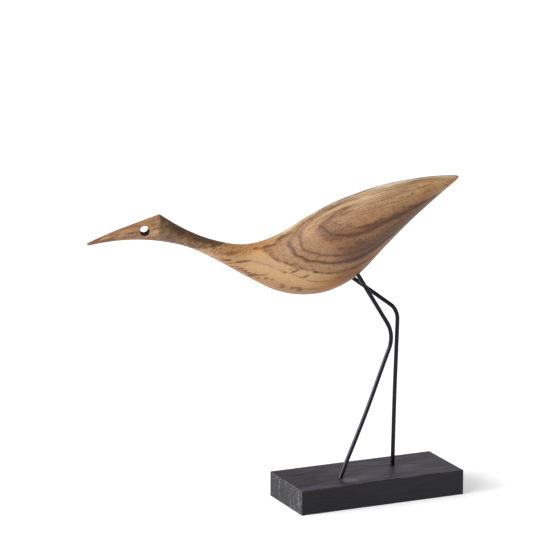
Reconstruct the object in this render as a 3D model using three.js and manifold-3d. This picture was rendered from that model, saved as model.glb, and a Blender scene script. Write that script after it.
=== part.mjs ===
// A carved wooden heron reaching forward on two bent wire legs, set in a black wooden block.
// Millimetres, +Z up. The origin is the centre of the block's underside. +X runs along the
// block from the beak's end to the tail's end, and +Y is the bird's right-hand side.

import * as THREE from 'three';
import { mergeVertices } from 'three/addons/utils/BufferGeometryUtils.js';
import Module from 'manifold-3d';

const wasm = await Module();
wasm.setup();

const degrees = THREE.MathUtils.degToRad;

// Clearance between pieces that would touch, and the overshoot of a drill past a surface.
const CLEARANCE = 0.3;
const DRILL_OVERSHOOT = 20;

const BLOCK = { length: 140, width: 59, height: 20, easedEdge: 0.6 };

const WIRE = { diameter: 3.3, sides: 12, steps: 46 };
const DRILL_SIDES = 16;
const DEPTH_IN_BLOCK = 12;
const DEPTH_IN_BELLY = 20;

// Each wire stands in a plane along the block. It leans back from its foot to the knee, bends
// there, and runs forward and up into the belly. Lean is measured from the vertical. The shin
// bows a little: shinBow is how far its middle stands towards the tail's end.
const LEFT_LEG = {
  side: -9.5,
  footX: -27.7,
  kneeX: 18.2,
  kneeZ: 130,
  kneeRadius: 23,
  thighLean: 32,
  kneeToBelly: 59,
  shinBow: 0.85,
};
const RIGHT_LEG = {
  side: 6.5,
  footX: 25.5,
  kneeX: 29,
  kneeZ: 145.5,
  kneeRadius: 15.5,
  thighLean: 53.3,
  kneeToBelly: 52,
  shinBow: -0.3,
};

// The bird stands a little askew on its block: it is turned about the upright through the
// point between its two leg holes, so that the beak swings away to the bird's right.
const BIRD = { turn: 18, pivotX: -10, pivotY: -1.5, sides: 36, ringPitch: 5 };

// Sections through the bird, square to its length. "along" is measured towards the tail from
// the point between the leg holes, and the heights are above the table.
const SECTIONS = [
  { along: -208.5, top: 208.5, under: 206.5, half: 1.5 }, // beak tip
  { along: -186, top: 218, under: 210, half: 5.5 },
  { along: -168, top: 224.5, under: 210.5, half: 8 }, // eye
  { along: -152.5, top: 229.9, under: 209, half: 9 }, // crest
  { along: -132, top: 217.3, under: 204.2, half: 7 },
  { along: -110, top: 208.5, under: 193.6, half: 7.5 }, // neck
  { along: -86, top: 205, under: 179.7, half: 11 },
  { along: -62, top: 211.8, under: 167.8, half: 16.5 },
  { along: -40, top: 224.8, under: 164.5, half: 21.5 }, // breast
  { along: -20, top: 235.3, under: 168, half: 24 },
  { along: 0, top: 243, under: 179.5, half: 24.5 }, // leg holes
  { along: 20, top: 249, under: 200.5, half: 22.5 },
  { along: 40, top: 252.8, under: 220.7, half: 18 },
  { along: 60, top: 255, under: 238.5, half: 11.5 },
  { along: 78, top: 255.5, under: 253.5, half: 4.5 }, // tail tip
];
const CREST = 3;
const BEAK_ROUNDING = 2;
const TAIL_ROUNDING = 3.5;
const CAP_RINGS = 4;

const EYE = { along: -164.5, height: 218.5, diameter: 7.5, sides: 28, drillLength: 40 };

const woodOfBird = new THREE.MeshStandardMaterial({ color: 0xa9805a, roughness: 0.55, metalness: 0 });
const blackWire = new THREE.MeshStandardMaterial({ color: 0x1b1c20, roughness: 0.42, metalness: 0.4 });
const blackWood = new THREE.MeshStandardMaterial({ color: 0x2c2b2c, roughness: 0.75, metalness: 0 });

function solidOf(geometry) {
  const bare = geometry.clone();
  bare.deleteAttribute('normal');
  bare.deleteAttribute('uv');
  const closed = mergeVertices(bare);
  const vertProperties = new Float32Array(closed.attributes.position.array);
  const triVerts = new Uint32Array(closed.index.array);
  return new wasm.Manifold(new wasm.Mesh({ numProp: 3, vertProperties, triVerts }));
}

function geometryOf(solid) {
  const { vertProperties, triVerts } = solid.getMesh();
  const geometry = new THREE.BufferGeometry();
  geometry.setAttribute('position', new THREE.BufferAttribute(vertProperties, 3));
  geometry.setIndex(new THREE.BufferAttribute(triVerts, 1));
  return geometry;
}

// A smooth curve through one measure of the given sections. The slope at a section is that of
// the parabola through it and its two neighbours.
function curveThrough(sections, measure) {
  const places = sections.map((section) => section.along);
  const values = sections.map((section) => section[measure]);
  const last = places.length - 1;
  const steps = places.slice(1).map((place, i) => place - places[i]);
  const rises = steps.map((step, i) => (values[i + 1] - values[i]) / step);
  const slopes = rises.map((rise, i) => {
    if (i === 0) return rise;
    return (rises[i - 1] * steps[i] + rise * steps[i - 1]) / (steps[i - 1] + steps[i]);
  });
  slopes[0] = 1.5 * rises[0] - 0.5 * slopes[1];
  slopes[last] = 1.5 * rises[last - 1] - 0.5 * slopes[last - 1];
  return (along) => {
    const after = places.findIndex((place, i) => i > 0 && (along <= place || i === last));
    const i = after - 1;
    const t = (along - places[i]) / steps[i];
    const start = (1 + 2 * t) * (1 - t) ** 2 * values[i] + t * (1 - t) ** 2 * steps[i] * slopes[i];
    const end = t * t * (3 - 2 * t) * values[i + 1] + t * t * (t - 1) * steps[i] * slopes[i + 1];
    return start + end;
  };
}

// The crest is a sharp corner: the curve ahead of it and the curve behind it meet there.
function curveWithCrest(measure) {
  const ahead = curveThrough(SECTIONS.slice(0, CREST + 1), measure);
  const behind = curveThrough(SECTIONS.slice(CREST), measure);
  return (along) => (along <= SECTIONS[CREST].along ? ahead(along) : behind(along));
}

const topOf = curveWithCrest('top');
const halfWidthOf = curveWithCrest('half');
const underOf = curveThrough(SECTIONS, 'under');
const BEAK_TIP = SECTIONS[0].along;
const TAIL_TIP = SECTIONS[SECTIONS.length - 1].along;

// The share of a section's size that is left inside a rounded tip.
function tipShare(distance, rounding) {
  if (distance >= rounding) return 1;
  return Math.sqrt(1 - (1 - distance / rounding) ** 2);
}

// Places of the rings: a rounded cap at each tip, and even steps between, with one ring
// right on the crest.
function ringPlaces() {
  const places = [];
  const even = (from, to) => {
    const count = Math.round((to - from) / BIRD.ringPitch);
    for (let i = 0; i < count; i += 1) places.push(from + ((to - from) * i) / count);
  };
  const capStep = (k) => 1 - Math.cos((k / CAP_RINGS) * (Math.PI / 2));
  for (let k = 0; k < CAP_RINGS; k += 1) places.push(BEAK_TIP + BEAK_ROUNDING * capStep(k));
  even(BEAK_TIP + BEAK_ROUNDING, SECTIONS[CREST].along);
  even(SECTIONS[CREST].along, TAIL_TIP - TAIL_ROUNDING);
  for (let k = CAP_RINGS; k >= 0; k -= 1) places.push(TAIL_TIP - TAIL_ROUNDING * capStep(k));
  return places;
}

// The carved outline: a ball whose rows are moved onto the bird's elliptical sections, with
// the beak tip and the tail tip as its poles.
function birdSkin() {
  const places = ringPlaces();
  const skin = new THREE.SphereGeometry(1, BIRD.sides, places.length - 1);
  const position = skin.attributes.position;
  places.forEach((along, row) => {
    const share = tipShare(along - BEAK_TIP, BEAK_ROUNDING) * tipShare(TAIL_TIP - along, TAIL_ROUNDING);
    const middle = (topOf(along) + underOf(along)) / 2;
    const halfHeight = ((topOf(along) - underOf(along)) / 2) * share;
    const halfWidth = halfWidthOf(along) * share;
    for (let column = 0; column <= BIRD.sides; column += 1) {
      const angle = ((column % BIRD.sides) / BIRD.sides) * 2 * Math.PI;
      const sideways = -halfWidth * Math.cos(angle);
      const height = middle + halfHeight * Math.sin(angle);
      position.setXYZ(row * (BIRD.sides + 1) + column, along, sideways, height);
    }
  });
  return skin;
}

// The middle line of one leg: bowed shin, round knee, straight thigh, all in one plane.
class BentWire extends THREE.Curve {
  constructor(leg) {
    super();
    this.leg = leg;
    this.foot = new THREE.Vector3(leg.footX, leg.side, BLOCK.height);
    this.knee = new THREE.Vector3(leg.kneeX, leg.side, leg.kneeZ);
    this.up = this.knee.clone().sub(this.foot).normalize();
    this.tailwards = new THREE.Vector3(this.up.z, 0, -this.up.x);
    const lean = degrees(leg.thighLean);
    this.onward = new THREE.Vector3(-Math.sin(lean), 0, Math.cos(lean));
    this.bend = this.up.angleTo(this.onward);
    this.cornerLength = leg.kneeRadius * Math.tan(this.bend / 2);
    this.shinLength = DEPTH_IN_BLOCK + this.foot.distanceTo(this.knee) - this.cornerLength;
    this.kneeLength = leg.kneeRadius * this.bend;
    this.thighLength = leg.kneeToBelly + DEPTH_IN_BELLY - this.cornerLength;
  }

  getPoint(t, target = new THREE.Vector3()) {
    const walked = t * (this.shinLength + this.kneeLength + this.thighLength);
    const kneeStart = this.knee.clone().addScaledVector(this.up, -this.cornerLength);
    if (walked <= this.shinLength) {
      const risen = Math.max(walked - DEPTH_IN_BLOCK, 0) / (this.shinLength - DEPTH_IN_BLOCK);
      const bow = this.leg.shinBow * Math.sin(Math.PI * risen) ** 2;
      target.copy(kneeStart).addScaledVector(this.up, walked - this.shinLength);
      return target.addScaledVector(this.tailwards, bow);
    }
    if (walked <= this.shinLength + this.kneeLength) {
      const turned = (walked - this.shinLength) / this.leg.kneeRadius;
      const inward = this.onward.clone().addScaledVector(this.up, -Math.cos(this.bend)).normalize();
      target.copy(kneeStart).addScaledVector(this.up, this.leg.kneeRadius * Math.sin(turned));
      return target.addScaledVector(inward, this.leg.kneeRadius * (1 - Math.cos(turned)));
    }
    const past = walked - this.shinLength - this.kneeLength + this.cornerLength;
    return target.copy(this.knee).addScaledVector(this.onward, past);
  }
}

function wireGeometry(wire) {
  const rim = [];
  for (let i = 0; i < WIRE.sides; i += 1) {
    const angle = (i / WIRE.sides) * 2 * Math.PI;
    rim.push(new THREE.Vector2(Math.cos(angle), Math.sin(angle)).multiplyScalar(WIRE.diameter / 2));
  }
  const section = new THREE.Shape(rim);
  return new THREE.ExtrudeGeometry(section, { steps: WIRE.steps, extrudePath: wire });
}

// A drill for one blind wire hole. It starts outside the wood and stops a clearance past the
// wire's end.
function drill(mouth, inward, depth) {
  const radius = WIRE.diameter / 2 + CLEARANCE;
  const length = DRILL_OVERSHOOT + depth + CLEARANCE;
  const bit = new THREE.CylinderGeometry(radius, radius, length, DRILL_SIDES);
  bit.applyQuaternion(new THREE.Quaternion().setFromUnitVectors(new THREE.Vector3(0, 1, 0), inward));
  const middle = mouth.clone().addScaledVector(inward, length / 2 - DRILL_OVERSHOOT);
  bit.translate(middle.x, middle.y, middle.z);
  return bit;
}

function footDrill(wire) {
  return drill(wire.foot, wire.up.clone().negate(), DEPTH_IN_BLOCK);
}

function bellyDrill(wire) {
  const mouth = wire.knee.clone().addScaledVector(wire.onward, wire.leg.kneeToBelly);
  return drill(mouth, wire.onward, DEPTH_IN_BELLY);
}

function blockGeometry(wires) {
  const eased = BLOCK.easedEdge;
  const x = BLOCK.length / 2 - eased;
  const y = BLOCK.width / 2 - eased;
  const plan = new THREE.Shape([
    new THREE.Vector2(-x, -y),
    new THREE.Vector2(x, -y),
    new THREE.Vector2(x, y),
    new THREE.Vector2(-x, y),
  ]);
  const body = new THREE.ExtrudeGeometry(plan, {
    depth: BLOCK.height - 2 * eased,
    bevelSize: eased,
    bevelThickness: eased,
    bevelSegments: 1,
  });
  body.translate(0, 0, eased);
  let solid = solidOf(body);
  wires.forEach((wire) => {
    solid = solid.subtract(solidOf(footDrill(wire)));
  });
  return geometryOf(solid);
}

function birdGeometry(wires, worldToBird) {
  const eyeDrill = new THREE.CylinderGeometry(EYE.diameter / 2, EYE.diameter / 2, EYE.drillLength, EYE.sides);
  eyeDrill.translate(EYE.along, 0, EYE.height);
  let solid = solidOf(birdSkin()).subtract(solidOf(eyeDrill));
  wires.forEach((wire) => {
    solid = solid.subtract(solidOf(bellyDrill(wire).applyMatrix4(worldToBird)));
  });
  return geometryOf(solid);
}

function named(name, geometry, material) {
  const mesh = new THREE.Mesh(geometry, material);
  mesh.name = name;
  return mesh;
}

const leftWire = new BentWire(LEFT_LEG);
const rightWire = new BentWire(RIGHT_LEG);

const birdFrame = new THREE.Group();
birdFrame.position.set(BIRD.pivotX, BIRD.pivotY, 0);
birdFrame.rotation.z = -degrees(BIRD.turn);
birdFrame.updateMatrixWorld();
const worldToBird = birdFrame.matrixWorld.clone().invert();
birdFrame.add(named('bird_body', birdGeometry([leftWire, rightWire], worldToBird), woodOfBird));

const heron = new THREE.Group();
heron.add(named('base_block', blockGeometry([leftWire, rightWire]), blackWood));
heron.add(named('left_leg', wireGeometry(leftWire), blackWire));
heron.add(named('right_leg', wireGeometry(rightWire), blackWire));
heron.add(birdFrame);

export default heron;
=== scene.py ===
"""A carved wooden heron reaching forward on two bent wire legs, set in a black wooden block.

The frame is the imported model's: the origin is the middle of the block's underside, +X runs
from the beak's end to the tail's end, +Y is the bird's right-hand side and +Z is up. Sizes
are written in millimetres and turned into metres where meshes are made.
"""

import logging
import math
from dataclasses import dataclass
from enum import Enum
from typing import Any

import bmesh
import bpy
import numpy as np
from mathutils import Matrix, Vector

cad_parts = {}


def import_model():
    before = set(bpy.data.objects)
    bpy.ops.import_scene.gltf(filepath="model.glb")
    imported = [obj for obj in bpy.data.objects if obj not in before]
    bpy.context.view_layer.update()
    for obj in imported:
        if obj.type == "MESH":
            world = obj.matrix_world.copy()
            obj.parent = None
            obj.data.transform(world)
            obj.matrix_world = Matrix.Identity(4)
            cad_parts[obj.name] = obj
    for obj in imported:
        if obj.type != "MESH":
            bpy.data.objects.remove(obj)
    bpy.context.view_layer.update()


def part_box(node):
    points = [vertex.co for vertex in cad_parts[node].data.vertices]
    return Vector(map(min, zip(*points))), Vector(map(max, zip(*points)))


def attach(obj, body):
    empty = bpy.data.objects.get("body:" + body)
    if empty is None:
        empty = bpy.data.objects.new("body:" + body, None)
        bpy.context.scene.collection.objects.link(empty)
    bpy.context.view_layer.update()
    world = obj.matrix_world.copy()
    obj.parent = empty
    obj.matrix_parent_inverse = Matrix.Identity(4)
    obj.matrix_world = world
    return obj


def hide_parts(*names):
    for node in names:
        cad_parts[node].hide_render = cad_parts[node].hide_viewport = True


MM = 0.001
BODY = "root"
GRAIN = "grain"
MERGE_DISTANCE = 1e-6
SHARP_ANGLE = math.radians(34)

Colour = tuple[float, float, float]
Sizes = tuple[float, float, float]
Socket = bpy.types.NodeSocket
Piece = bpy.types.Object
Material = bpy.types.Material

log = logging.getLogger("heron")


class LegSide(Enum):
    """The two legs, each by the name of its node."""

    LEFT = "left_leg"
    RIGHT = "right_leg"


class Blend(Enum):
    """The ways in which one colour is laid over another."""

    OVER = "MIX"
    STAIN = "MULTIPLY"


@dataclass(frozen=True)
class Field:
    """A number that varies from point to point, so that formulas read as plain arithmetic."""

    graph: "NodeGraph"
    socket: Socket

    def __add__(self, other: "Field | float") -> "Field":
        """Returns this plus other."""
        return self.graph.math("ADD", self, other)

    def __sub__(self, other: "Field | float") -> "Field":
        """Returns this less other."""
        return self.graph.math("SUBTRACT", self, other)

    def __rsub__(self, other: float) -> "Field":
        """Returns other less this."""
        return self.graph.math("SUBTRACT", other, self)

    def __mul__(self, other: "Field | float") -> "Field":
        """Returns this times other."""
        return self.graph.math("MULTIPLY", self, other)

    def __truediv__(self, other: "Field | float") -> "Field":
        """Returns this divided by other."""
        return self.graph.math("DIVIDE", self, other)

    def squared(self) -> "Field":
        """Returns this times itself."""
        return self.graph.math("MULTIPLY", self, self)

    def absolute(self) -> "Field":
        """Returns this without its sign."""
        return self.graph.math("ABSOLUTE", self)

    def at_least(self, other: "Field | float") -> "Field":
        """Returns the greater of this and other."""
        return self.graph.math("MAXIMUM", self, other)

    def at_most(self, other: "Field | float") -> "Field":
        """Returns the smaller of this and other."""
        return self.graph.math("MINIMUM", self, other)

    def clamped(self) -> "Field":
        """Returns this, held between 0 and 1."""
        return self.graph.math("MULTIPLY", self, 1.0, clamp=True)

    def step(self, start: float, end: float, smooth: bool = True) -> "Field":
        """Rises from 0 where this is at start to 1 where it is at end.

        Args:
            start: Where the rise starts. It may lie above end, which turns the rise round.
            end: Where the rise ends.
            smooth: Whether the rise eases in and out.

        Returns:
            The rise, from 0 to 1.
        """
        node = self.graph.add(
            "ShaderNodeMapRange",
            {"Value": self, "From Min": start, "From Max": end},
            interpolation_type="SMOOTHSTEP" if smooth else "LINEAR",
            clamp=False,
        )
        return Field(self.graph, node.outputs[0])

    def ramp(self, stops: list[tuple[float, Colour]]) -> Socket:
        """Turns this into a colour.

        Args:
            stops: Values of this, from 0 to 1, and their linear colours, in rising order.

        Returns:
            The colour.
        """
        node = self.graph.add("ShaderNodeValToRGB", {0: self})
        elements = node.color_ramp.elements
        while len(elements) < len(stops):
            elements.new(1.0)
        for element, (place, colour) in zip(elements, stops):
            element.position = place
            element.color = (*colour, 1.0)
        return node.outputs[0]

    def profile(self, stops: list[tuple[float, float]]) -> "Field":
        """Turns this into another number along straight lines between stops.

        Args:
            stops: Values of this and what they turn into, from 0 to 1, in rising order.

        Returns:
            The new number.
        """
        low = stops[0][0]
        high = stops[-1][0]
        place = self.step(low, high, smooth=False)
        greys = [((at - low) / (high - low), (grey, grey, grey)) for at, grey in stops]
        node = self.graph.add("ShaderNodeRGBToBW", {0: place.ramp(greys)})
        return Field(self.graph, node.outputs[0])


class NodeGraph:
    """Adds nodes to a tree and joins them, so that a finish or a form reads as a list of steps."""

    def __init__(self, tree: bpy.types.NodeTree) -> None:
        """Starts on an empty tree.

        Args:
            tree: The node tree of a material, a world or a geometry modifier.
        """
        self.tree = tree
        tree.nodes.clear()

    def feed(self, socket: Socket, value: Any) -> None:
        """Links a field or socket into an input, or sets the input's own value.

        Args:
            socket: The input.
            value: A Field, a node's output socket, or a plain value.
        """
        if isinstance(value, Field):
            self.tree.links.new(value.socket, socket)
        elif isinstance(value, Socket):
            self.tree.links.new(value, socket)
        else:
            socket.default_value = value

    def add(self, kind: str, inputs: dict[str | int, Any] | None = None, **settings: Any) -> bpy.types.Node:
        """Adds one node.

        Args:
            kind: The node's type.
            inputs: Values or sockets by input name or number.
            settings: The node's own properties.

        Returns:
            The new node.
        """
        node = self.tree.nodes.new(kind)
        for name, value in settings.items():
            setattr(node, name, value)
        for key, value in (inputs or {}).items():
            self.feed(node.inputs[key], value)
        return node

    def math(self, operation: str, *values: "Field | float", clamp: bool = False) -> Field:
        """Adds one step of arithmetic.

        Args:
            operation: The Math node's operation.
            values: Its inputs in order.
            clamp: Whether the result is held between 0 and 1.

        Returns:
            The result.
        """
        node = self.add("ShaderNodeMath", dict(enumerate(values)), operation=operation, use_clamp=clamp)
        return Field(self, node.outputs[0])

    def split(self, vector: Socket) -> tuple[Field, Field, Field]:
        """Returns the three coordinates of a vector as fields."""
        node = self.add("ShaderNodeSeparateXYZ", {0: vector})
        return tuple(Field(self, output) for output in node.outputs)

    def join(self, x: "Field | float", y: "Field | float", z: "Field | float") -> Socket:
        """Returns a vector made of three coordinates."""
        return self.add("ShaderNodeCombineXYZ", {0: x, 1: y, 2: z}).outputs[0]

    def noise(self, place: Socket, detail: float, roughness: float = 0.5, scale: float = 1.0) -> Field:
        """Adds a cloudy noise around 0.5.

        Args:
            place: Where it is read.
            detail: How many finer layers it carries.
            roughness: How strong those layers are.
            scale: Its fineness.

        Returns:
            The noise, from 0 to 1.
        """
        inputs = {"Vector": place, "Scale": scale, "Detail": detail, "Roughness": roughness}
        return Field(self, self.add("ShaderNodeTexNoise", inputs).outputs[0])

    def blend(self, how: Blend, share: "Field | float", under: Any, over: Any) -> Socket:
        """Lays one colour over another.

        Args:
            how: The way of laying it.
            share: How much of it shows.
            under: The colour below, a socket or three linear values.
            over: The colour above, likewise.

        Returns:
            The mixed colour.
        """
        node = self.add("ShaderNodeMix", {0: share}, data_type="RGBA", blend_type=how.value)
        for index, colour in ((6, under), (7, over)):
            self.feed(node.inputs[index], (*colour, 1.0) if isinstance(colour, tuple) else colour)
        return node.outputs[2]

    def place(self) -> Socket:
        """Returns the place on the object, in metres."""
        return self.add("ShaderNodeTexCoord").outputs["Object"]

    def bump(self, height: Field, depth: float, strength: float = 1.0) -> Socket:
        """Tilts the surface by relief too shallow for the mesh.

        Args:
            height: The relief, from 0 to 1.
            depth: How deep it is, in millimetres.
            strength: How much of the tilt shows.

        Returns:
            The tilted normal.
        """
        sizes = {"Strength": strength, "Distance": depth * MM, "Height": height}
        return self.add("ShaderNodeBump", sizes).outputs[0]


def new_material(name: str) -> tuple[Material, NodeGraph]:
    """Returns an empty node material and the graph to fill it with."""
    material = bpy.data.materials.new(name)
    material.use_nodes = True
    return material, NodeGraph(material.node_tree)


def close_material(graph: NodeGraph, shader: dict[str | int, Any]) -> None:
    """Ends a material with its shader.

    Args:
        graph: The material's graph.
        shader: The shader's inputs.
    """
    surface = graph.add("ShaderNodeBsdfPrincipled", shader)
    graph.add("ShaderNodeOutputMaterial", {"Surface": surface.outputs[0]})


@dataclass(frozen=True)
class Patch:
    """A soft oval of darker or paler wood, or of painted sheen, placed as seen from the bird's side.

    Sizes are in millimetres. Lean is the oval's rise towards the tail, in degrees, and tone is
    what the wood's lightness is multiplied by in its middle.
    """

    along: float
    height: float
    reach: float
    spread: float
    lean: float
    tone: float


# Each patch follows a mark picked out in the photograph. A scratch script turned most of the
# picked places into these millimetres, and many rows were then changed by hand.
BODY_PATCHES = (
    Patch(-98, 195, 18, 9, -25, 0.9),  # throat
    Patch(-38.5, 218, 10, 4.5, 39, 1.15),  # pale crescent between the inner rings
    Patch(-31, 209, 9, 5, 2, 0.95),
    Patch(-12.5, 233.5, 14.5, 3, 21, 1.2),
    Patch(-47.5, 215, 4, 3.3, 38, 0.8),
    Patch(-16, 180, 12, 7, 33, 0.75),  # darker belly towards the legs
    Patch(-2.5, 203.5, 14, 6, 14, 0.85),
    Patch(24, 213, 7.5, 2.2, 27, 0.75),
    Patch(36.5, 226, 12.5, 1.7, 34, 1.25),
    Patch(14, 201, 7, 1.6, 12, 1.2),
    Patch(6, 222.5, 5.5, 1.7, 14, 0.55),  # dark streak from the flank to the tail's under edge
    Patch(6, 220.5, 8.5, 2, 9, 0.7),
    Patch(14, 225, 6.5, 3, 17, 0.6),
    Patch(21, 225.5, 5, 4, 27, 0.7),
    Patch(27, 228.5, 8, 3.6, 12, 0.55),
    Patch(35.5, 231, 5, 2.4, 10, 0.6),
    Patch(33, 235, 6.5, 1.5, -1, 0.7),
    Patch(40.5, 235, 6, 2.6, 5, 0.6),
    Patch(46, 237, 5.5, 2, 16, 0.6),
    Patch(55.5, 240.5, 6, 1.6, 24, 0.6),
    Patch(66.5, 249, 3, 1.3, -7, 0.55),
)

HEAD_PATCHES = (
    Patch(-204.5, 209.5, 8, 4, 24, 0.6),  # beak tip and under edge
    Patch(-193, 211, 11, 1.8, 7, 0.65),
    Patch(-171.5, 215.5, 8, 1.4, 2, 0.8),
    Patch(-161.5, 212.5, 11, 1.4, -7, 0.8),
    Patch(-174, 219.5, 8, 1.6, 11, 1.15),  # tan streaks along the beak
    Patch(-164, 222.5, 7, 2.4, -2, 1.3),  # round the eye
    Patch(-158, 217, 5.5, 5, -14, 1.65),
    Patch(-166, 214, 7, 2.2, 0, 1.25),
    Patch(-177.5, 217, 6, 0.8, 6, 0.65),
    Patch(-169.5, 222, 4.5, 0.8, 12, 0.7),
    Patch(-157, 220.5, 3, 0.8, 9, 0.65),
)

NECK_PATCHES = (
    Patch(-147.5, 223, 6.5, 4, -36, 1.1),  # crest
    Patch(-139, 218, 9, 2, -29, 0.68),
    Patch(-126, 211, 10.5, 2, -22, 0.88),
    Patch(-133, 210, 10.5, 3.3, -19, 1.15),
    Patch(-143, 217.5, 11, 5.3, -36, 0.85),
    Patch(-116.5, 204.5, 8, 4, -28, 1.5),
)

FLECKS_AND_SHEEN = (
    Patch(-99, 200, 9, 1.8, 7, 0.6),  # throat
    Patch(-102, 194.5, 6, 1.5, -2, 0.4),
    Patch(-100, 192, 3.5, 1, 1, 0.65),
    Patch(-98, 189, 2.5, 1.1, -1, 0.6),
    Patch(-90.5, 186.5, 5, 0.9, -5, 0.65),
    Patch(-85, 184, 5, 1.1, -23, 0.65),
    Patch(-90.5, 193.5, 9.5, 1.3, 9, 0.35),
    Patch(-94.5, 189.5, 2, 1, 5, 0.5),
    Patch(-91.5, 188, 4, 1, 5, 0.45),
    Patch(-88, 186, 2.5, 1.2, 7, 0.45),
    Patch(-85.5, 184.5, 2.5, 1, 3, 0.45),
    Patch(-84, 182, 2.5, 1.7, 13, 0.27),
    Patch(-81, 183, 3, 2, 10, 0.41),
    Patch(-76.5, 183, 4.5, 1, 6, 0.54),
    Patch(-72, 184, 4, 0.9, 25, 0.63),
    Patch(-78.5, 180, 2.5, 1.2, 7, 0.5),
    Patch(-72, 180.5, 2.5, 1.4, 4, 0.54),
    Patch(-67.5, 179.5, 2.5, 1, -6, 0.63),
    Patch(-59.5, 175, 3, 1.7, -16, 0.59),
    Patch(-60, 173, 3, 1.6, 3, 0.54),
    Patch(-52, 172.5, 2.5, 1.4, 9, 0.41),
    Patch(-47.5, 172.5, 4, 1.6, -13, 0.45),
    Patch(-46.5, 170.5, 3, 1.2, 1, 0.41),
    Patch(-80, 193.5, 6, 1, -11, 0.82),  # faint line across the breast
    Patch(-70.5, 191, 7, 1, -18, 0.76),
    Patch(-60, 187, 8, 1, -20, 0.74),
    Patch(-48.5, 183, 8.5, 1, -20, 0.74),
    Patch(-58.5, 186, 2, 1, 7, 0.4),  # breast and belly
    Patch(-54, 188.5, 2.5, 0.8, 26, 0.6),
    Patch(-51, 187, 4.5, 1.1, 20, 0.28),
    Patch(-46, 182, 2, 0.7, 21, 0.6),
    Patch(-42.5, 183, 3.5, 1.3, 24, 0.32),
    Patch(-35, 186.5, 3, 1.3, -3, 0.32),
    Patch(-25.5, 185.5, 3.5, 1, 5, 0.45),
    Patch(-20, 186, 5, 0.8, 4, 0.7),
    Patch(-12, 187.5, 6, 0.8, 7, 0.65),
    Patch(-5.5, 189, 3, 1.3, 15, 0.35),
    Patch(0.5, 192, 6.5, 1.1, 23, 0.55),
    Patch(-40.5, 179.5, 3, 0.8, -19, 0.65),
    Patch(-35.5, 178.5, 4.5, 0.9, -6, 0.5),
    Patch(-28, 178.5, 6, 1, 1, 0.65),
    Patch(-17, 181, 3, 1, 8, 0.6),
    Patch(-38, 171.5, 11, 0.9, -1, 0.7),
    Patch(-68.5, 198, 3, 2, -46, 0.7),  # edge of the outer ring
    Patch(-64.5, 196, 4, 1.7, -16, 0.7),
    Patch(-58, 193.5, 3, 1.5, -17, 0.7),
    Patch(-52, 192.5, 4.5, 1.6, 2, 0.7),
    Patch(-46.5, 190.5, 2.5, 1.6, -30, 0.65),
    Patch(-78.5, 203, 5, 1.2, 8, 0.55),  # streaks from the neck into the shoulder
    Patch(-71, 204.5, 6, 1.6, 16, 0.4),
    Patch(-65.5, 206.5, 3, 0.9, 22, 0.55),
    Patch(-69.5, 202.5, 4, 1, 15, 0.65),
    Patch(-72.5, 202, 1.5, 1.2, 2, 0.55),
    Patch(-60, 211, 6.5, 1.1, 28, 0.45),
    Patch(-54, 214, 4, 1, 32, 0.55),
    Patch(-46.5, 219.5, 9, 0.9, 33, 0.6),
    Patch(-40, 224.5, 8, 0.8, 31, 0.7),
    Patch(-35, 226.5, 8.5, 0.9, 32, 0.65),
    Patch(-36.5, 220.5, 6.5, 0.8, 37, 0.7),
    Patch(-24, 233, 7.5, 0.8, 27, 0.7),
    Patch(-20, 234, 13.5, 0.9, 23, 0.7),
    Patch(-4.5, 239.5, 8.5, 0.8, 14, 0.7),
    # Pale streaks that follow the grain along the back's edge, paled further as a painted sheen.
    Patch(-51.5, 217, 11, 1.5, 32, 1.4),  # pale streaks between them
    Patch(-37.5, 226.5, 11, 1.5, 33, 1.4),
    Patch(-22, 235.5, 12, 1.8, 24, 1.35),
    Patch(-4.5, 241, 10.5, 2, 21, 1.2),
    Patch(-28, 219.5, 5, 1, -40, 0.6),  # innermost ring
    Patch(4.5, 223, 10.5, 1.1, 15, 0.6),
    Patch(-30, 220.5, 3.5, 1.2, -20, 0.68),
    Patch(-25.5, 217, 5, 1.2, -21, 0.62),
    Patch(-16.5, 215.5, 7, 1.5, -4, 0.66),
    Patch(-6, 216.5, 8, 1.5, 14, 0.66),
    Patch(-22, 228, 3, 1.1, 28, 0.72),
    Patch(-19, 223.5, 5, 0.9, -21, 0.72),
    Patch(-9.5, 222, 3, 1.1, -20, 0.7),
    Patch(-0.5, 221, 5.5, 1.2, 9, 0.6),
    Patch(-16.5, 205, 3, 1.7, 0, 0.66),
    Patch(-1, 209.5, 6.5, 2, 7, 0.72),
)


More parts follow.
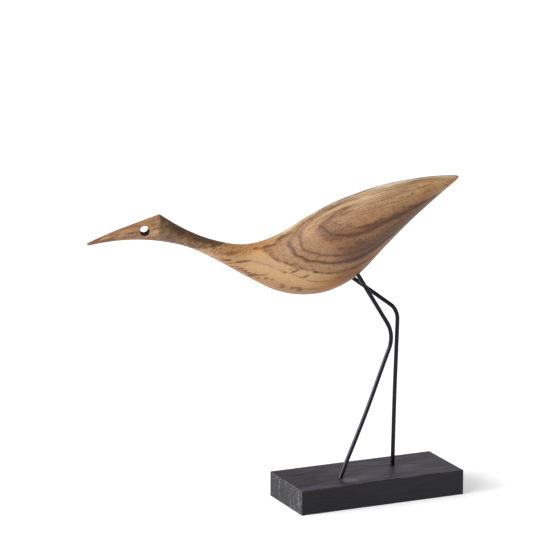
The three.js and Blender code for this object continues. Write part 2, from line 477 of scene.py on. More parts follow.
@dataclass(frozen=True)
class BirdGrain:
    """Reads places in the bird's own frame, in millimetres, for one material.

    The back's line falls away ahead of the tail's tip and the belly's line climbs on both sides
    of its lowest place, each by its bend times the distance squared.
    """

    graph: NodeGraph
    place: Socket
    fibre_lean: float
    tail_tip: float = 78.0
    back_bend: float = 0.00215
    belly_lowest: float = -45.0
    belly_height: float = 165.0
    belly_bend: float = 0.0075

    def along(self) -> Field:
        """Returns the place along the bird."""
        return self.graph.split(self.place)[0]

    def fibres(self) -> Socket:
        """Returns the place measured along the fibres, across them, and up from them."""
        turn = (0.0, math.radians(self.fibre_lean), 0.0)
        return self.graph.add("ShaderNodeMapping", {"Vector": self.place, "Rotation": turn}).outputs[0]

    def streaks(self, length: float, width: float, detail: float, roughness: float = 0.6) -> Field:
        """Reads noise that is drawn out along the fibres.

        Args:
            length: The streaks' usual length.
            width: Their usual width.
            detail: How many finer layers they carry.
            roughness: How strong those layers are.

        Returns:
            The streaks, around 0.5.
        """
        scale = (1 / length, 1 / width, 1 / width)
        drawn = self.graph.add("ShaderNodeMapping", {"Vector": self.fibres(), "Scale": scale})
        return self.graph.noise(drawn.outputs[0], detail, roughness)

    def ragged(self, fine_slip: float, broad_slip: float, lift: float) -> "BirdGrain":
        """Shifts the place along the fibres, so that what is read there has ragged edges.

        Args:
            fine_slip: How far thin bundles of fibres shift at most.
            broad_slip: How far broad ones shift at most.
            lift: How far the broad ones shift upwards at most.

        Returns:
            The shifted reader.
        """
        fine = self.streaks(length=5.0, width=0.8, detail=2.0)
        broad = self.streaks(length=24.0, width=8.0, detail=2.0)
        shift = (fine - 0.5) * fine_slip + (broad - 0.5) * broad_slip
        rise = shift * math.tan(math.radians(self.fibre_lean)) + (broad - 0.5) * lift
        x, y, z = self.graph.split(self.place)
        return BirdGrain(self.graph, self.graph.join(x + shift, y, z + rise), self.fibre_lean)

    def back_lines(self) -> Field:
        """Returns thin, long lines that run under the back's outline, from 0 to 1."""
        along, across, height = self.graph.split(self.place)
        under_back = height + (along - self.tail_tip).squared() * self.back_bend
        place = self.graph.join(along / 30.0, across / 1.6, under_back / 1.1)
        return self.graph.noise(place, detail=2.0, roughness=0.6).step(0.5, 0.66)

    def height_above_belly(self) -> Field:
        """Returns the height above the line of the belly and throat, in millimetres."""
        along, _, height = self.graph.split(self.place)
        return height - self.belly_height - (along - self.belly_lowest).squared() * self.belly_bend

    def share_left(self, flat: Socket, patch: Patch) -> Field:
        """Returns what a patch leaves of the wood's tone.

        Args:
            flat: The place along the bird, the number 1, and the place upwards.
            patch: The patch.

        Returns:
            1 outside the oval and the patch's tone in its middle.
        """
        lean = math.radians(patch.lean)
        distance = None
        for turn, size in ((lean, patch.reach), (lean + math.pi / 2, patch.spread)):
            way = (math.cos(turn) / size, math.sin(turn) / size)
            middle = way[0] * patch.along + way[1] * patch.height
            crossed = self.graph.add(
                "ShaderNodeVectorMath", {0: flat, 1: (way[0], -middle, way[1])}, operation="DOT_PRODUCT"
            )
            part = Field(self.graph, crossed.outputs["Value"]).squared()
            distance = part if distance is None else distance + part
        return distance.step(1.0, 0.12) * (patch.tone - 1.0) + 1.0

    def patched(self, tone: Field, patches: tuple[Patch, ...]) -> Field:
        """Lays patches on the wood.

        Args:
            tone: The tone so far.
            patches: The patches.

        Returns:
            The new tone.
        """
        along, _, height = self.graph.split(self.place)
        flat = self.graph.join(along, 1.0, height)
        for patch in patches:
            tone = tone * self.share_left(flat, patch)
        return tone


@dataclass(frozen=True)
class GrowthRings:
    """The growth rings, as bent sheets counted towards the bird's near side and its back.

    Every rate is in rings over a span, with places measured from the middle height and from
    between the leg holes. Ahead of the neck the count is held.
    """

    span: float = 50.0
    middle_height: float = 206.0
    held_ahead: float = -85.0
    outward: float = 7.4
    upward: float = 3.8
    arch: float = -0.4
    splay: float = 1.8
    sweep: float = -1.05
    sweep_along: float = 1.2
    sweep_up: float = 1.2
    first: float = -0.2
    fold_height: float = 227.7
    fold_rise: float = 0.338

    def count(self, grain: BirdGrain) -> Field:
        """Counts the rings at a place.

        Args:
            grain: The reader of the place.

        Returns:
            The ring's number, with parts of a ring as decimals.
        """
        along, across, height = grain.graph.split(grain.place)
        x = along.at_least(self.held_ahead) / self.span
        y = across / self.span
        z = (height - self.middle_height) / self.span
        flat = y * -self.outward + z * self.upward + self.first
        bent = z.squared() * self.arch + x * y * self.splay + x * z * self.sweep
        swept = x * z * (x * self.sweep_along + z * self.sweep_up)
        return flat + bent + swept

    def above_fold(self, grain: BirdGrain) -> Field:
        """Returns the height above the line along which the rings turn back on the flank."""
        along, _, height = grain.graph.split(grain.place)
        return height - along * self.fold_rise - self.fold_height


@dataclass(frozen=True)
class FigureWood:
    """The bird's honey-coloured wood, cut across bold growth rings.

    Tone is the wood's lightness: the share of light that it returns. Stains are what its colour
    is multiplied by; those on the back and the ridge are a painted sheen and a painted highlight.
    The dark neck's under edge lies level at a height. It climbs behind its bend and drops on
    the far side.
    """

    turn: float
    pivot: tuple[float, float]
    rings: GrowthRings = GrowthRings()
    fibre_lean: float = 17.0
    fullest_tone: float = 0.36
    neck_edge: float = 203.2
    neck_edge_bend: float = -113.0
    neck_edge_climb: float = 0.35
    neck_edge_drop: float = 0.6
    speckle_share: float = 1.25
    palest_fleck: float = 0.14
    throat_stain: Colour = (1.3, 1.12, 0.82)
    belly_stain: Colour = (1.02, 1.0, 0.91)
    # darker and warmer under the rear of the belly
    rump_darkening: Colour = (0.85, 0.68, 0.48)
    # painted sheen: the back above the fold is paled and greyed
    back_sheen: Colour = (1.15, 1.35, 1.65)
    # painted highlight along the ridge
    ridge_highlight: Colour = (0.98, 1.1, 1.25)
    head_stain: Colour = (1.0, 0.98, 1.03)
    crest_stain: Colour = (1.15, 1.35, 1.6)
    roughness: float = 0.5
    roughness_spread: float = 0.25
    pore_depth: float = 0.04

    def bird_place(self, graph: NodeGraph) -> Socket:
        """Turns the place on the object into the bird's own place.

        Args:
            graph: The material's graph.

        Returns:
            The place along the bird, across it and up, in millimetres.
        """
        turn = math.radians(self.turn)
        ahead, across = self.pivot
        shift_x = across * math.sin(turn) - ahead * math.cos(turn)
        shift_y = -ahead * math.sin(turn) - across * math.cos(turn)
        turned = graph.add("ShaderNodeMapping", {
            "Vector": graph.place(),
            "Location": (shift_x, shift_y, 0.0),
            "Rotation": (0.0, 0.0, turn),
            "Scale": (1 / MM, 1 / MM, 1 / MM),
        })
        return turned.outputs[0]

    def body_tone(self, grain: BirdGrain) -> Field:
        """Returns the tone that the rings give to the body.

        Args:
            grain: The reader of the place.

        Returns:
            The tone: each part of the body shows the same rings in its own strength.
        """
        count = self.rings.count(grain)
        # The stops began as readings from a fit to the photograph's lightness, then were changed.
        breast = count.profile([
            (-3.0, 0.19), (-1.6, 0.24), (-0.9, 0.27), (0.9, 0.26), (1.06, 0.24), (1.15, 0.13),
            (1.3, 0.13), (1.5, 0.165), (2.25, 0.165), (2.35, 0.12), (2.42, 0.05), (2.57, 0.048),
            (2.66, 0.145), (2.94, 0.16), (3.03, 0.11), (3.08, 0.06), (3.15, 0.07), (3.21, 0.135),
            (3.4, 0.158), (3.8, 0.168), (3.92, 0.13), (3.98, 0.07), (4.06, 0.075), (4.15, 0.11),
            (4.5, 0.11),
        ])
        flank = count.profile([
            (-3.0, 0.12), (0.3, 0.12), (0.95, 0.15), (1.2, 0.14), (1.31, 0.075), (1.38, 0.065),
            (1.48, 0.1), (1.75, 0.14), (2.1, 0.14), (2.3, 0.085), (2.4, 0.03), (2.48, 0.018),
            (2.6, 0.02), (2.7, 0.045), (2.82, 0.065), (3.04, 0.062), (3.1, 0.038), (3.16, 0.045),
            (3.3, 0.068), (3.55, 0.058), (3.8, 0.09), (4.0, 0.11), (4.09, 0.08), (4.14, 0.045),
            (4.2, 0.05), (4.27, 0.085), (4.4, 0.12), (4.55, 0.17), (5.1, 0.21),
        ])
        shoulder = count.profile([
            (-0.2, 0.24), (0.1, 0.19), (0.4, 0.18), (0.85, 0.18), (1.4, 0.21), (1.62, 0.18),
            (1.75, 0.105), (1.9, 0.175), (2.1, 0.135), (2.25, 0.175), (2.5, 0.175), (2.68, 0.115),
            (2.9, 0.175), (3.08, 0.125), (3.25, 0.19), (3.6, 0.19), (3.78, 0.145), (3.85, 0.08),
            (3.93, 0.085), (4.05, 0.125), (4.25, 0.175), (4.5, 0.19),
        ])
        tail = count.profile([
            (2.1, 0.205), (2.5, 0.23), (2.75, 0.3), (3.0, 0.285), (3.15, 0.21), (3.3, 0.26),
            (3.6, 0.305), (3.85, 0.29), (4.1, 0.24), (4.35, 0.19), (4.55, 0.165), (4.75, 0.215),
            (5.2, 0.255), (5.6, 0.275),
        ])
        along, _, height = grain.graph.split(grain.place)
        along = along + (height - self.rings.middle_height) * math.tan(math.radians(self.fibre_lean))
        under = breast + (flank - breast) * along.step(-32.0, -8.0)
        back = shoulder + (tail - shoulder) * along.step(-6.0, 16.0)
        return under + (back - under) * self.rings.above_fold(grain).step(-3.0, 4.0)

    def colour(self, tone: Field) -> Socket:
        """Turns the wood's tone into a colour.

        Args:
            tone: The tone.

        Returns:
            The wood's usual colour.
        """
        return (tone / self.fullest_tone).ramp([
            (0.04, (0.045, 0.018, 0.01)),
            (0.15, (0.11, 0.043, 0.014)),
            (0.23, (0.16, 0.067, 0.025)),
            (0.36, (0.225, 0.112, 0.05)),
            (0.51, (0.298, 0.162, 0.072)),
            (0.67, (0.37, 0.217, 0.1)),
            (0.78, (0.42, 0.257, 0.12)),
            (0.92, (0.459, 0.31, 0.17)),
        ])

    def behind_crest(self, grain: BirdGrain) -> Field:
        """Returns 0 on the head and 1 behind the crest's edge."""
        return grain.along().step(-155.0, -151.5)

    def on_back(self, grain: BirdGrain) -> Field:
        """Returns 1 above the fold in the rings, behind the head."""
        return self.rings.above_fold(grain).step(-4.0, 8.0) * self.behind_crest(grain)

    def on_ridge(self, grain: BirdGrain) -> Field:
        """Returns 1 along the middle of the back, behind the neck, where a highlight is painted."""
        along, across, _ = grain.graph.split(grain.place)
        return across.absolute().step(7.0, 2.0) * self.on_back(grain) * along.step(-80.0, -66.0)

    def on_neck(self, grain: BirdGrain) -> Field:
        """Finds the dark neck, whose under edge climbs behind the throat.

        Args:
            grain: The reader of the place.

        Returns:
            1 above the edge and 0 below it.
        """
        along, across, height = grain.graph.split(grain.place)
        climb = (along - self.neck_edge_bend).at_least(0.0) * self.neck_edge_climb
        drop = across.at_least(0.0) * along.step(-85.0, -100.0) * self.neck_edge_drop
        return (height - self.neck_edge - climb + drop).step(-0.7, 0.7)

    def broad_tone(self, grain: BirdGrain, ragged: BirdGrain) -> Field:
        """Joins the ringed body, the mottled neck and the streaked head.

        Args:
            grain: The reader of the place.
            ragged: The same reader with ragged edges.

        Returns:
            The tone without its finest grain.
        """
        frayed = grain.ragged(fine_slip=1.5, broad_slip=1.0, lift=0.0)
        body = ragged.patched(self.body_tone(ragged), BODY_PATCHES)
        mottle = grain.streaks(length=5.0, width=2.0, detail=3.0)
        neck = mottle.profile([(0.3, 0.032), (0.45, 0.055), (0.55, 0.075), (0.7, 0.11)])
        neck = frayed.patched(neck, NECK_PATCHES)
        streak = grain.streaks(length=14.0, width=1.4, detail=3.0)
        head = frayed.patched(streak.profile([(0.3, 0.075), (0.5, 0.13), (0.7, 0.22)]), HEAD_PATCHES)
        tone = body + (neck - body) * self.on_neck(ragged)
        tone = head + (tone - head) * self.behind_crest(ragged)
        # The flecks include pale streaks of painted sheen along the back's edge.
        return frayed.patched(tone, FLECKS_AND_SHEEN)

    def thin_lines(self, grain: BirdGrain, ragged: BirdGrain) -> Field:
        """Draws dark lines along the back and the tail, and pales the ridge as a painted highlight.

        Args:
            grain: The reader of the place.
            ragged: The same reader with ragged edges.

        Returns:
            What the tone is multiplied by.
        """
        hairs = grain.back_lines() * (self.on_back(ragged) * 0.5 + 0.05)
        on_tail = ragged.along().step(-16.0, 6.0) * self.rings.above_fold(ragged).step(-2.0, 4.0)
        thin = grain.streaks(length=26.0, width=0.8, detail=2.0).step(0.5, 0.66) * on_tail
        # The ridge's paling is a painted highlight.
        return (self.on_ridge(ragged) * 0.35 + 1.0 - hairs) * (1.0 - thin * 0.4)

    def stained(self, ragged: BirdGrain, colour: Socket) -> Socket:
        """Warms, deepens or greys the wood where the figure's colour changes, darkens it under the
        rear of the belly, and paints a sheen on the back and a highlight on the ridge.

        Args:
            ragged: The reader of the place.
            colour: The wood's usual colour.

        Returns:
            The wood's colour, with the painted sheen and highlight.
        """
        graph = ragged.graph
        along, _, height = graph.split(ragged.place)
        throat = along.step(-58.0, -80.0) * along.step(-114.0, -100.0) * height.step(194.0, 203.0)
        belly = ragged.height_above_belly().step(24.0, 8.0) * along.step(65.0, 45.0)
        back = self.rings.above_fold(ragged).step(0.0, 16.0)
        crest = along.step(-156.0, -151.0) * along.step(-130.0, -150.0)
        for share, stain in (
            (throat, self.throat_stain),
            (belly, self.belly_stain),
            # Darker and warmer under the rear of the belly.
            (belly * along.step(-45.0, -25.0), self.rump_darkening),
            # The back's tint is a painted sheen.
            (back * self.behind_crest(ragged), self.back_sheen),
            # The ridge's tint is a painted highlight.
            (self.on_ridge(ragged), self.ridge_highlight),
            (along.step(-150.0, -156.0), self.head_stain),
            (crest, self.crest_stain),
        ):
            colour = graph.blend(Blend.STAIN, share, colour, stain)
        return colour

    def material(self) -> Material:
        """Returns the finish as a material."""
        material, graph = new_material("figured_wood")
        grain = BirdGrain(graph, self.bird_place(graph), self.fibre_lean)
        ragged = grain.ragged(fine_slip=5.0, broad_slip=8.0, lift=3.0)
        tone = self.broad_tone(grain, ragged)
        streak = grain.streaks(length=6.0, width=0.8, detail=2.0)
        speckle = grain.streaks(length=1.3, width=1.0, detail=1.0)
        strength = tone.step(0.28, 0.1) + 0.45
        fine = (streak - 0.5 + (speckle - 0.5) * self.speckle_share).at_most(self.palest_fleck)
        tone = tone * (fine * strength + 1.03) * self.thin_lines(grain, ragged)
        close_material(graph, {
            "Base Color": self.stained(ragged, self.colour(tone)),
            "Roughness": (streak - 0.5) * self.roughness_spread + self.roughness,
            "Normal": graph.bump(speckle + streak, self.pore_depth, strength=0.5),
        })
        return material


@dataclass(frozen=True)
class DarkBore:
    """The drilled eye's wall: dark end grain."""

    colour: Colour = (0.018, 0.013, 0.011)
    light_colour: Colour = (0.05, 0.036, 0.03)
    grain_size: float = 0.9
    grain_depth: float = 0.05

    def material(self) -> Material:
        """Returns the finish as a material."""
        material, graph = new_material("dark_bore")
        place = graph.place()
        grain = graph.noise(place, detail=3.0, roughness=0.6, scale=1 / (self.grain_size * MM))
        colour = graph.blend(Blend.OVER, grain.step(0.4, 0.7), self.colour, self.light_colour)
        close_material(graph, {
            "Base Color": colour,
            "Roughness": (grain - 0.5) * 0.3 + 0.8,
            "Specular IOR Level": 0.2,
            "Normal": graph.bump(grain, self.grain_depth),
        })
        return material


@dataclass(frozen=True)
class SatinBlackWire:
    """Steel wire under a thin satin black coat."""

    colour: Colour = (0.0025, 0.0028, 0.004)
    worn_colour: Colour = (0.005, 0.0055, 0.008)
    shine: Colour = (0.88, 0.9, 1.0)
    roughness: float = 0.2
    roughness_spread: float = 0.08
    speckle_size: float = 0.6
    cloud_size: float = 9.0
    bump_height: float = 0.012

    def material(self) -> Material:
        """Returns the finish as a material."""
        material, graph = new_material("satin_black_coat")
        place = graph.place()
        speckle = graph.noise(place, detail=2.0, scale=1 / (self.speckle_size * MM))
        cloud = graph.noise(place, detail=4.0, scale=1 / (self.cloud_size * MM))
        colour = graph.blend(Blend.OVER, cloud.step(0.45, 0.7), self.colour, self.worn_colour)
        uneven = (cloud - 0.5) * self.roughness_spread + (speckle - 0.5) * self.roughness_spread
        close_material(graph, {
            "Base Color": colour,
            "Roughness": uneven + self.roughness,
            "Specular IOR Level": 0.22,
            "Specular Tint": (*self.shine, 1.0),
            "Normal": graph.bump(speckle, self.bump_height),
        })
        return material


@dataclass(frozen=True)
class WearAndSheenSpot:
    """An oval on the block's top where the stain is worn thin and a painted sheen shows, in millimetres."""

    x: float
    y: float
    half_length: float
    half_width: float
    strength: float


# Bluish pale spots on the top: partly worn stain, partly painted sheen; the one beside the left foot is a
# painted highlight.
WEAR_AND_SHEEN_SPOTS = (
    WearAndSheenSpot(-23.0, -18.0, 9.0, 6.5, 1.0),  # beside the left foot
    WearAndSheenSpot(-8.0, -16.0, 14.0, 7.0, 0.45),
    WearAndSheenSpot(-55.0, -27.0, 24.0, 7.0, 0.5),
    WearAndSheenSpot(35.0, 0.0, 6.0, 2.5, 0.7),
    WearAndSheenSpot(20.0, -8.0, 34.0, 9.0, 0.2),
)


@dataclass(frozen=True)
class BlackStainedWood:
    """Open-grained wood under a thin black stain: worn on its arrises, speckled on its ends, and with a
    painted sheen on its top.
    """

    half: Sizes
    colour: Colour = (0.006, 0.0048, 0.0078)
    ridge_colour: Colour = (0.011, 0.0095, 0.0135)
    # pale grain lines on the top only: partly grain, partly painted sheen
    top_grain_sheen_colour: Colour = (0.041, 0.0365, 0.0485)
    worn_colour: Colour = (0.075, 0.071, 0.083)
    # bluish pale colour: partly worn stain, partly painted sheen
    wear_and_sheen_colour: Colour = (0.12, 0.115, 0.16)
    end_colour: Colour = (0.013, 0.0122, 0.0155)
    end_speckle_colour: Colour = (0.14, 0.137, 0.15)
    roughness: float = 0.5
    pore_depth: float = 0.04
    arris_width: float = 1.4
    wear_size: float = 2.5

    def near_limit(self, value: Field, half: float, width: float) -> Field:
        """Returns 1 where a place lies at the block's limit in one direction.

        Args:
            value: The place in that direction, from the block's middle, in millimetres.
            half: Half the block's size in that direction.
            width: How far in from the limit the mark fades out.

        Returns:
            The mark, from 0 to 1.
        """
        return value.absolute().step(half - width, half - 0.2)

    def streaks(self, x: Field, y: Field, z: Field, length: float, width: float) -> Socket:
        """Returns the place counted in streaks of a length along the block and a width across."""
        return x.graph.join(x / length, y / width, z / width)

    def wear_and_sheen(self, x: Field, y: Field, grain: Field) -> Field:
        """Returns how far the stain on the top is worn away and a painted sheen laid on.

        Args:
            x: The place along the block, in millimetres.
            y: The place across it.
            grain: Noise that breaks the spots up.

        Returns:
            The share, from 0 to 1.
        """
        share = 0.0
        for spot in WEAR_AND_SHEEN_SPOTS:
            along = (x - spot.x) / spot.half_length
            across = (y - spot.y) / spot.half_width
            shown = (along.squared() + across.squared()).step(1.2, 0.0) * spot.strength
            share = shown.at_least(share)
        return share * (grain.step(0.42, 0.56) * 0.8 + 0.2)

    def speckled_end(self, x: Field, y: Field, z: Field) -> Socket:
        """Returns the colour of the ends, where cut pores show as pale dots.

        Args:
            x: The place along the block, in millimetres.
            y: The place across it.
            z: The height above the table.

        Returns:
            The colour.
        """
        graph = x.graph
        dots = graph.noise(graph.join(x, y / 1.8, z / 0.9), detail=1.0, roughness=0.6)
        columns = graph.noise(graph.join(x / 9.0, y / 4.0, z / 24.0), detail=1.0)
        top = self.half[2] * 2
        near = y.step(12.0, -self.half[1]) * 0.06 + z.step(top - 4.0, top) * 0.03
        speckle = (dots * 0.65 + columns * 0.35 + near).step(0.57, 0.68)
        return graph.blend(Blend.OVER, speckle, self.end_colour, self.end_speckle_colour)

    def worn_arris(self, x: Field, y: Field, upright: Field) -> Field:
        """Returns how far the stain on the arrises is worn away.

        Args:
            x: The place along the block from its middle, in millimetres.
            y: The place across it.
            upright: The place up it.

        Returns:
            The share, from 0 to 1.
        """
        graph = x.graph
        near_x = self.near_limit(x, self.half[0], self.arris_width)
        near_y = self.near_limit(y, self.half[1], self.arris_width)
        near_z = self.near_limit(upright, self.half[2], self.arris_width)
        arris = (near_y * near_z).at_least(near_z * near_x).at_least(near_x * near_y)
        cloud = graph.noise(graph.place(), detail=3.0, roughness=0.6, scale=1 / (self.wear_size * MM))
        return arris * cloud.step(0.42, 0.68) * (x.step(-5.0, -35.0) * 0.75 + 0.25)

    def material(self) -> Material:
        """Returns the finish as a material."""
        material, graph = new_material("black_stain")
        grain = Field(graph, graph.add("ShaderNodeAttribute", attribute_name=GRAIN).outputs["Fac"])
        x, y, z = (part / MM for part in graph.split(graph.place()))
        upright = z - self.half[2]
        streak = graph.noise(self.streaks(x, y, z, length=16.0, width=0.7), detail=3.0, roughness=0.6)
        fine = graph.noise(self.streaks(x, y, z, length=3.0, width=0.35), detail=1.0)
        broad = graph.noise(self.streaks(x, y, z, length=30.0, width=9.0), detail=2.0)
        ridges = (streak * 0.6 + grain * 0.2 + broad * 0.2).step(0.38, 0.68)
        # The top alone is paler, with grain lines and worn spots: partly grain and wear, partly painted
        # sheen.
        on_top = upright.step(self.half[2] - 1.0, self.half[2] - 0.3)
        lines = graph.noise(graph.join(x / 32.0, y / 2.0, 0.0), detail=2.0, roughness=0.6)
        lines = (lines + (broad - 0.5) * 0.3).step(0.46, 0.59)
        wear_and_sheen = self.wear_and_sheen(x, y, streak * 0.5 + fine * 0.5)
        end = self.near_limit(x, self.half[0], 0.6)
        colour = self.colour
        for share, layer in (
            (ridges, self.ridge_colour),
            (lines * on_top, self.top_grain_sheen_colour),
            # Worn spots with a painted sheen on the top.
            (wear_and_sheen * on_top, self.wear_and_sheen_colour),
            (end, self.speckled_end(x, y, z)),
            (self.worn_arris(x, y, upright), self.worn_colour),
        ):
            colour = graph.blend(Blend.OVER, share, colour, layer)
        rough = (streak - 0.5) * 0.3 + (fine - 0.5) * 0.2 + self.roughness
        close_material(graph, {
            "Base Color": colour,
            "Roughness": rough + x.step(-10.0, -60.0) * 0.1,
            "Specular IOR Level": 0.3,
            "Normal": graph.bump(fine + streak * 2.0, self.pore_depth, strength=0.8),
        })
        return material


@dataclass(frozen=True)
class StudioWhite:
    """The pale floor."""

    colour: Colour = (0.86, 0.86, 0.87)
    glow: float = 0.42

    def material(self) -> Material:
        """Returns the finish as a material."""
        material, graph = new_material("studio_white")
        close_material(graph, {
            "Base Color": (*self.colour, 1.0),
            "Roughness": 0.9,
            "Specular IOR Level": 0.1,
            "Emission Color": (1.0, 1.0, 1.0, 1.0),
            "Emission Strength": self.glow,
        })
        return material


def link(name: str, data: bpy.types.ID) -> Piece:
    """Returns a new object in the scene that shows the given data."""
    thing = bpy.data.objects.new(name, data)
    bpy.context.scene.collection.objects.link(thing)
    return thing


def settle(thing: Piece) -> Piece:
    """Turns an object with modifiers into a plain mesh object of the same name.

    Args:
        thing: A mesh or curve object. It is removed.

    Returns:
        The plain object, at the origin.
    """
    name = thing.name
    evaluated = thing.evaluated_get(bpy.context.evaluated_depsgraph_get())
    mesh = bpy.data.meshes.new_from_object(evaluated)
    bpy.data.objects.remove(thing)
    mesh.name = name
    return link(name, mesh)


class Form(NodeGraph):
    """A geometry tree that shapes one object, with a named input for each size."""

    KINDS: dict[type, str] = {
        float: "NodeSocketFloat",
        int: "NodeSocketInt",
        Vector: "NodeSocketVector",
        Material: "NodeSocketMaterial",
    }

    def __init__(self, thing: Piece, sizes: dict[str, Any], material: Material) -> None:
        """Starts the tree with its inputs.

        Args:
            thing: The object, a mesh of points, lines or faces.
            sizes: The value of each named input.
            material: What the finished form is dressed in.
        """
        super().__init__(bpy.data.node_groups.new(thing.name + "_form", "GeometryNodeTree"))
        sockets = self.tree.interface
        sockets.new_socket("Geometry", in_out="OUTPUT", socket_type="NodeSocketGeometry")
        sockets.new_socket("Geometry", in_out="INPUT", socket_type="NodeSocketGeometry")
        self.thing = thing
        self.values: dict[str, Any] = {}
        for name, value in {**sizes, "Material": material}.items():
            kind = self.KINDS[type(value)]
            socket = sockets.new_socket(name, in_out="INPUT", socket_type=kind)
            self.values[socket.identifier] = value
        self.given = self.add("NodeGroupInput").outputs

    def size(self, name: str) -> Field:
        """Returns a named size as a field."""
        return Field(self, self.given[name])

    def close(self, geometry: Socket) -> Piece:
        """Ends the tree: smooth shading, real geometry and the material.

        Args:
            geometry: The finished geometry.

        Returns:
            The form as a plain mesh object.
        """
        smooth = self.add("GeometryNodeSetShadeSmooth", {"Geometry": geometry})
        real = self.add("GeometryNodeRealizeInstances", {"Geometry": smooth.outputs[0]})
        dress = {"Geometry": real.outputs[0], "Material": self.given["Material"]}
        dressed = self.add("GeometryNodeSetMaterial", dress)
        self.add("NodeGroupOutput", {0: dressed.outputs[0]})
        modifier = self.thing.modifiers.new(self.tree.name, "NODES")
        modifier.node_group = self.tree
        for identifier, value in self.values.items():
            modifier[identifier] = value
        return settle(self.thing)


@dataclass(frozen=True)
class DrillBit:
    """A round drill, in metres, from outside the wood to the bottom of a hole."""

    start: Vector
    end: Vector
    radius: float
    sides: int = 64

    def mesh_object(self) -> Piece:
        """Returns the bit as a closed mesh object."""
        way = self.end - self.start
        turn = way.to_track_quat("Z", "Y").to_matrix().to_4x4()
        place = Matrix.Translation((self.start + self.end) / 2) @ turn
        bm = bmesh.new()
        bmesh.ops.create_cone(
            bm,
            cap_ends=True,
            segments=self.sides,
            radius1=self.radius,
            radius2=self.radius,
            depth=way.length,
            matrix=place,
        )
        mesh = bpy.data.meshes.new("drill")
        bm.to_mesh(mesh)
        bm.free()
        return link("drill", mesh)


def drilled(piece: Piece, bits: list[DrillBit], material: Material) -> Piece:
    """Cuts holes into a closed piece.

    Args:
        piece: The piece. It is replaced.
        bits: The drills.
        material: The piece's material, which the holes get too.

    Returns:
        The drilled piece as a plain mesh object.
    """
    bodies = [bit.mesh_object() for bit in bits]
    for body in bodies:
        cut = piece.modifiers.new("drill", "BOOLEAN")
        cut.operation = "DIFFERENCE"
        cut.solver = "EXACT"
        cut.object = body
    piece = settle(piece)
    for body in bodies:
        bpy.data.objects.remove(body)
    piece.data.materials.clear()
    piece.data.materials.append(material)
    piece.data.polygons.foreach_set("material_index", np.zeros(len(piece.data.polygons), np.int32))
    piece.data.set_sharp_from_angle(angle=SHARP_ANGLE)
    return piece


